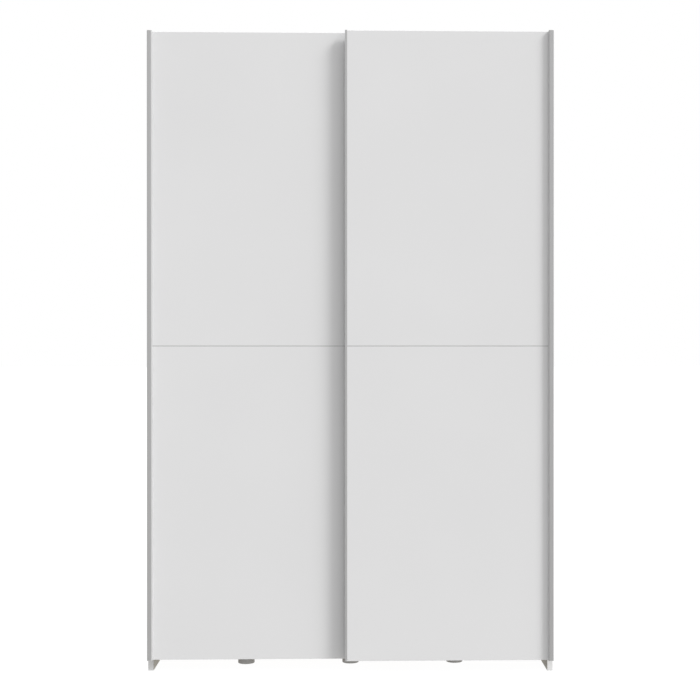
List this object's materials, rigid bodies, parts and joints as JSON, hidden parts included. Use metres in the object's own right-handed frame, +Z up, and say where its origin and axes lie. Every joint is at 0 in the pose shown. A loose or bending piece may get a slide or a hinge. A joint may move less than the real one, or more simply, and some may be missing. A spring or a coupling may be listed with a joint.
{
  "type": "sliding door wardrobe",
  "caption": "Free-standing wardrobe with two overlapping sliding doors hung in front of a carcass with shelves and a hanging rail.",
  "frame": {"origin": "middle of the footprint, on the floor", "axes": "+X to the right seen from the front, -Y is the front with the doors, +Z up"},
  "size_m": [1.208, 0.612, 1.905],
  "materials": {
    "white_board": "white melamine on chipboard, satin",
    "back_board": "thin hardboard, raw back face",
    "aluminium_profile": "satin anodised",
    "zinc_steel": "zinc plated",
    "chrome_rail": "polished",
    "grey_plastic": "matt grey",
    "white_nylon": "smooth white",
    "black_rubber": "matt black",
    "beech_dowel": "raw beech",
    "cast_zinc": "die-cast zinc"
  },
  "bodies": {
    "carcass": {"side_panel_left": "white_board", "side_panel_right": "white_board", "top_panel": "white_board", "bottom_panel": "white_board", "middle_partition": "white_board", "back_panel_left": "back_board", "back_panel_right": "back_board", "hat_shelf_left": "white_board", "hat_shelf_right": "white_board", "shelf_left_low": "white_board", "shelf_left_middle": "white_board", "shelf_left_high": "white_board", "shelf_pins": "zinc_steel", "hanging_rail": "chrome_rail", "rail_sockets": "chrome_rail", "top_track": "aluminium_profile", "track_stops": "black_rubber", "bottom_guide_rail": "aluminium_profile", "foot_front_left": "grey_plastic", "foot_front_middle": "grey_plastic", "foot_front_right": "grey_plastic", "foot_back_left": "grey_plastic", "foot_back_middle": "grey_plastic", "foot_back_right": "grey_plastic", "cam_fittings": "cast_zinc", "cam_bolts": "zinc_steel", "dowels": "beech_dowel", "back_nails": "zinc_steel", "wall_brackets": "zinc_steel", "carcass_screws": "zinc_steel"},
    "rear_door": {"rear_door_upper_board": "white_board", "rear_door_lower_board": "white_board", "rear_door_joint_strip": "aluminium_profile", "rear_door_handle": "aluminium_profile", "rear_door_edge_strip": "aluminium_profile", "rear_door_end_caps": "grey_plastic", "rear_door_joiner_plates": "zinc_steel", "rear_door_hanger_left": "zinc_steel", "rear_door_hanger_right": "zinc_steel", "rear_door_axles": "zinc_steel", "rear_door_guides": "zinc_steel", "rear_door_guide_pins": "white_nylon", "rear_door_screws": "zinc_steel"},
    "rear_roller_left": {"rear_door_roller_left": "white_nylon"},
    "rear_roller_right": {"rear_door_roller_right": "white_nylon"},
    "front_door": {"front_door_upper_board": "white_board", "front_door_lower_board": "white_board", "front_door_joint_strip": "aluminium_profile", "front_door_handle": "aluminium_profile", "front_door_edge_strip": "aluminium_profile", "front_door_end_caps": "grey_plastic", "front_door_joiner_plates": "zinc_steel", "front_door_hanger_left": "zinc_steel", "front_door_hanger_right": "zinc_steel", "front_door_axles": "zinc_steel", "front_door_guides": "zinc_steel", "front_door_guide_pins": "white_nylon", "front_door_screws": "zinc_steel"},
    "front_roller_left": {"front_door_roller_left": "white_nylon"},
    "front_roller_right": {"front_door_roller_right": "white_nylon"}
  },
  "joints": [
    {"name": "rear_door_slide", "type": "slide", "parent": "carcass", "child": "rear_door", "axis": [1, 0, 0], "range_m": [0, 0.568]},
    {"name": "rear_roller_left_spin", "type": "hinge", "parent": "rear_door", "child": "rear_roller_left", "pos_m": [-0.541, -0.205, 1.8818], "axis": [0, 1, 0], "continuous": true},
    {"name": "rear_roller_right_spin", "type": "hinge", "parent": "rear_door", "child": "rear_roller_right", "pos_m": [-0.044, -0.205, 1.8818], "axis": [0, 1, 0], "continuous": true},
    {"name": "front_door_slide", "type": "slide", "parent": "carcass", "child": "front_door", "axis": [1, 0, 0], "range_m": [-0.568, 0]},
    {"name": "front_roller_left_spin", "type": "hinge", "parent": "front_door", "child": "front_roller_left", "pos_m": [0.044, -0.171, 1.8818], "axis": [0, 1, 0], "continuous": true},
    {"name": "front_roller_right_spin", "type": "hinge", "parent": "front_door", "child": "front_roller_right", "pos_m": [0.541, -0.171, 1.8818], "axis": [0, 1, 0], "continuous": true}
  ],
  "couplings": [
    {"joint": "rear_roller_left_spin", "follows": "rear_door_slide", "rad_per_m": 90.909},
    {"joint": "rear_roller_right_spin", "follows": "rear_door_slide", "rad_per_m": 90.909},
    {"joint": "front_roller_left_spin", "follows": "front_door_slide", "rad_per_m": 90.909},
    {"joint": "front_roller_right_spin", "follows": "front_door_slide", "rad_per_m": 90.909}
  ]
}
